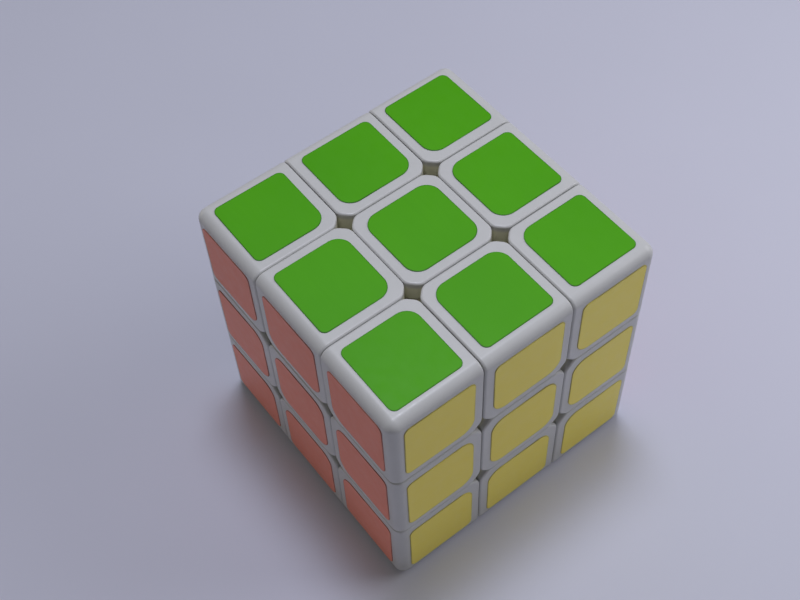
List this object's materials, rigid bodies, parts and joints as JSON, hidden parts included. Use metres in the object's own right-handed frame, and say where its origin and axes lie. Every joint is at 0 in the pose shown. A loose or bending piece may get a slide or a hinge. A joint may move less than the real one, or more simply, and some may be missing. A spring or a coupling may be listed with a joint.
{
  "type": "twisty puzzle cube",
  "caption": "White-bodied twisty puzzle cube with coloured vinyl stickers: each of its faces turns on a screwed spring core, carrying the edges and corners beside it.",
  "frame": {"origin": "centre of the core, where all the turning axes meet", "axes": "+Z out of the up face (green stickers), -Y out of the front face (orange), +X out of the right face (yellow)"},
  "size_m": [0.056, 0.056, 0.056],
  "materials": {
    "white_plastic": "satin white moulded plastic",
    "inner_plastic": "ivory moulded plastic",
    "core_plastic": "off-white moulded plastic",
    "screw_steel": "zinc-plated",
    "spring_steel": "bright spring wire",
    "green_vinyl": "satin vinyl sticker",
    "orange_vinyl": "satin vinyl sticker",
    "yellow_vinyl": "satin vinyl sticker",
    "blue_vinyl": "satin vinyl sticker",
    "red_vinyl": "satin vinyl sticker",
    "black_vinyl": "satin vinyl sticker"
  },
  "bodies": {
    "core": {"core": "core_plastic", "screw_up": "screw_steel", "spring_up": "spring_steel", "washer_up": "screw_steel", "screw_down": "screw_steel", "spring_down": "spring_steel", "washer_down": "screw_steel", "screw_front": "screw_steel", "spring_front": "spring_steel", "washer_front": "screw_steel", "screw_back": "screw_steel", "spring_back": "spring_steel", "washer_back": "screw_steel", "screw_right": "screw_steel", "spring_right": "spring_steel", "washer_right": "screw_steel", "screw_left": "screw_steel", "spring_left": "spring_steel", "washer_left": "screw_steel"},
    "face_up": {"center_up": "inner_plastic", "cap_up": "white_plastic"},
    "face_down": {"center_down": "inner_plastic", "cap_down": "white_plastic"},
    "face_front": {"center_front": "inner_plastic", "cap_front": "white_plastic"},
    "face_back": {"center_back": "inner_plastic", "cap_back": "white_plastic"},
    "face_right": {"center_right": "inner_plastic", "cap_right": "white_plastic"},
    "face_left": {"center_left": "inner_plastic", "cap_left": "white_plastic"},
    "edge_piece_up_front": {"edge_up_front": "white_plastic"},
    "edge_piece_up_back": {"edge_up_back": "white_plastic"},
    "edge_piece_up_right": {"edge_up_right": "white_plastic"},
    "edge_piece_up_left": {"edge_up_left": "white_plastic"},
    "edge_piece_down_front": {"edge_down_front": "white_plastic"},
    "edge_piece_down_back": {"edge_down_back": "white_plastic"},
    "edge_piece_down_right": {"edge_down_right": "white_plastic"},
    "edge_piece_down_left": {"edge_down_left": "white_plastic"},
    "edge_piece_front_right": {"edge_front_right": "white_plastic"},
    "edge_piece_front_left": {"edge_front_left": "white_plastic"},
    "edge_piece_back_right": {"edge_back_right": "white_plastic"},
    "edge_piece_back_left": {"edge_back_left": "white_plastic"},
    "corner_piece_up_front_right": {"corner_up_front_right": "white_plastic", "foot_up_front_right": "inner_plastic"},
    "corner_piece_up_front_left": {"corner_up_front_left": "white_plastic", "foot_up_front_left": "inner_plastic"},
    "corner_piece_up_back_right": {"corner_up_back_right": "white_plastic", "foot_up_back_right": "inner_plastic"},
    "corner_piece_up_back_left": {"corner_up_back_left": "white_plastic", "foot_up_back_left": "inner_plastic"},
    "corner_piece_down_front_right": {"corner_down_front_right": "white_plastic", "foot_down_front_right": "inner_plastic"},
    "corner_piece_down_front_left": {"corner_down_front_left": "white_plastic", "foot_down_front_left": "inner_plastic"},
    "corner_piece_down_back_right": {"corner_down_back_right": "white_plastic", "foot_down_back_right": "inner_plastic"},
    "corner_piece_down_back_left": {"corner_down_back_left": "white_plastic", "foot_down_back_left": "inner_plastic"}
  },
  "joints": [
    {"name": "turn_up", "type": "hinge", "parent": "core", "child": "face_up", "pos_m": [0, 0, 0], "axis": [0, 0, 1], "continuous": true},
    {"name": "turn_down", "type": "hinge", "parent": "core", "child": "face_down", "pos_m": [0, 0, 0], "axis": [0, 0, -1], "continuous": true},
    {"name": "turn_front", "type": "hinge", "parent": "core", "child": "face_front", "pos_m": [0, 0, 0], "axis": [0, -1, 0], "continuous": true},
    {"name": "turn_back", "type": "hinge", "parent": "core", "child": "face_back", "pos_m": [0, 0, 0], "axis": [0, 1, 0], "continuous": true},
    {"name": "turn_right", "type": "hinge", "parent": "core", "child": "face_right", "pos_m": [0, 0, 0], "axis": [1, 0, 0], "continuous": true},
    {"name": "turn_left", "type": "hinge", "parent": "core", "child": "face_left", "pos_m": [0, 0, 0], "axis": [-1, 0, 0], "continuous": true},
    {"name": "edge_up_front_with_up", "type": "hinge", "parent": "face_front", "child": "edge_piece_up_front", "pos_m": [0, 0, 0], "axis": [0, 0, 1], "continuous": true},
    {"name": "edge_up_back_with_up", "type": "hinge", "parent": "face_back", "child": "edge_piece_up_back", "pos_m": [0, 0, 0], "axis": [0, 0, 1], "continuous": true},
    {"name": "edge_up_right_with_right", "type": "hinge", "parent": "face_up", "child": "edge_piece_up_right", "pos_m": [0, 0, 0], "axis": [1, 0, 0], "continuous": true},
    {"name": "edge_up_left_with_left", "type": "hinge", "parent": "face_up", "child": "edge_piece_up_left", "pos_m": [0, 0, 0], "axis": [-1, 0, 0], "continuous": true},
    {"name": "edge_down_front_with_down", "type": "hinge", "parent": "face_front", "child": "edge_piece_down_front", "pos_m": [0, 0, 0], "axis": [0, 0, -1], "continuous": true},
    {"name": "edge_down_back_with_down", "type": "hinge", "parent": "face_back", "child": "edge_piece_down_back", "pos_m": [0, 0, 0], "axis": [0, 0, -1], "continuous": true},
    {"name": "edge_down_right_with_right", "type": "hinge", "parent": "face_down", "child": "edge_piece_down_right", "pos_m": [0, 0, 0], "axis": [1, 0, 0], "continuous": true},
    {"name": "edge_down_left_with_left", "type": "hinge", "parent": "face_down", "child": "edge_piece_down_left", "pos_m": [0, 0, 0], "axis": [-1, 0, 0], "continuous": true},
    {"name": "edge_front_right_with_front", "type": "hinge", "parent": "face_right", "child": "edge_piece_front_right", "pos_m": [0, 0, 0], "axis": [0, -1, 0], "continuous": true},
    {"name": "edge_front_left_with_front", "type": "hinge", "parent": "face_left", "child": "edge_piece_front_left", "pos_m": [0, 0, 0], "axis": [0, -1, 0], "continuous": true},
    {"name": "edge_back_right_with_back", "type": "hinge", "parent": "face_right", "child": "edge_piece_back_right", "pos_m": [0, 0, 0], "axis": [0, 1, 0], "continuous": true},
    {"name": "edge_back_left_with_back", "type": "hinge", "parent": "face_left", "child": "edge_piece_back_left", "pos_m": [0, 0, 0], "axis": [0, 1, 0], "continuous": true},
    {"name": "corner_up_front_right_with_up", "type": "hinge", "parent": "edge_piece_front_right", "child": "corner_piece_up_front_right", "pos_m": [0, 0, 0], "axis": [0, 0, 1], "continuous": true},
    {"name": "corner_up_front_left_with_up", "type": "hinge", "parent": "edge_piece_front_left", "child": "corner_piece_up_front_left", "pos_m": [0, 0, 0], "axis": [0, 0, 1], "continuous": true},
    {"name": "corner_up_back_right_with_up", "type": "hinge", "parent": "edge_piece_back_right", "child": "corner_piece_up_back_right", "pos_m": [0, 0, 0], "axis": [0, 0, 1], "continuous": true},
    {"name": "corner_up_back_left_with_up", "type": "hinge", "parent": "edge_piece_back_left", "child": "corner_piece_up_back_left", "pos_m": [0, 0, 0], "axis": [0, 0, 1], "continuous": true},
    {"name": "corner_down_front_right_with_down", "type": "hinge", "parent": "edge_piece_front_right", "child": "corner_piece_down_front_right", "pos_m": [0, 0, 0], "axis": [0, 0, -1], "continuous": true},
    {"name": "corner_down_front_left_with_down", "type": "hinge", "parent": "edge_piece_front_left", "child": "corner_piece_down_front_left", "pos_m": [0, 0, 0], "axis": [0, 0, -1], "continuous": true},
    {"name": "corner_down_back_right_with_down", "type": "hinge", "parent": "edge_piece_back_right", "child": "corner_piece_down_back_right", "pos_m": [0, 0, 0], "axis": [0, 0, -1], "continuous": true},
    {"name": "corner_down_back_left_with_down", "type": "hinge", "parent": "edge_piece_back_left", "child": "corner_piece_down_back_left", "pos_m": [0, 0, 0], "axis": [0, 0, -1], "continuous": true}
  ],
  "couplings": [
    {"joint": "edge_up_front_with_up", "follows": "turn_up", "ratio": 1},
    {"joint": "edge_up_back_with_up", "follows": "turn_up", "ratio": 1},
    {"joint": "edge_up_right_with_right", "follows": "turn_right", "ratio": 1},
    {"joint": "edge_up_left_with_left", "follows": "turn_left", "ratio": 1},
    {"joint": "edge_down_front_with_down", "follows": "turn_down", "ratio": 1},
    {"joint": "edge_down_back_with_down", "follows": "turn_down", "ratio": 1},
    {"joint": "edge_down_right_with_right", "follows": "turn_right", "ratio": 1},
    {"joint": "edge_down_left_with_left", "follows": "turn_left", "ratio": 1},
    {"joint": "edge_front_right_with_front", "follows": "turn_front", "ratio": 1},
    {"joint": "edge_front_left_with_front", "follows": "turn_front", "ratio": 1},
    {"joint": "edge_back_right_with_back", "follows": "turn_back", "ratio": 1},
    {"joint": "edge_back_left_with_back", "follows": "turn_back", "ratio": 1},
    {"joint": "corner_up_front_right_with_up", "follows": "turn_up", "ratio": 1},
    {"joint": "corner_up_front_left_with_up", "follows": "turn_up", "ratio": 1},
    {"joint": "corner_up_back_right_with_up", "follows": "turn_up", "ratio": 1},
    {"joint": "corner_up_back_left_with_up", "follows": "turn_up", "ratio": 1},
    {"joint": "corner_down_front_right_with_down", "follows": "turn_down", "ratio": 1},
    {"joint": "corner_down_front_left_with_down", "follows": "turn_down", "ratio": 1},
    {"joint": "corner_down_back_right_with_down", "follows": "turn_down", "ratio": 1},
    {"joint": "corner_down_back_left_with_down", "follows": "turn_down", "ratio": 1}
  ]
}
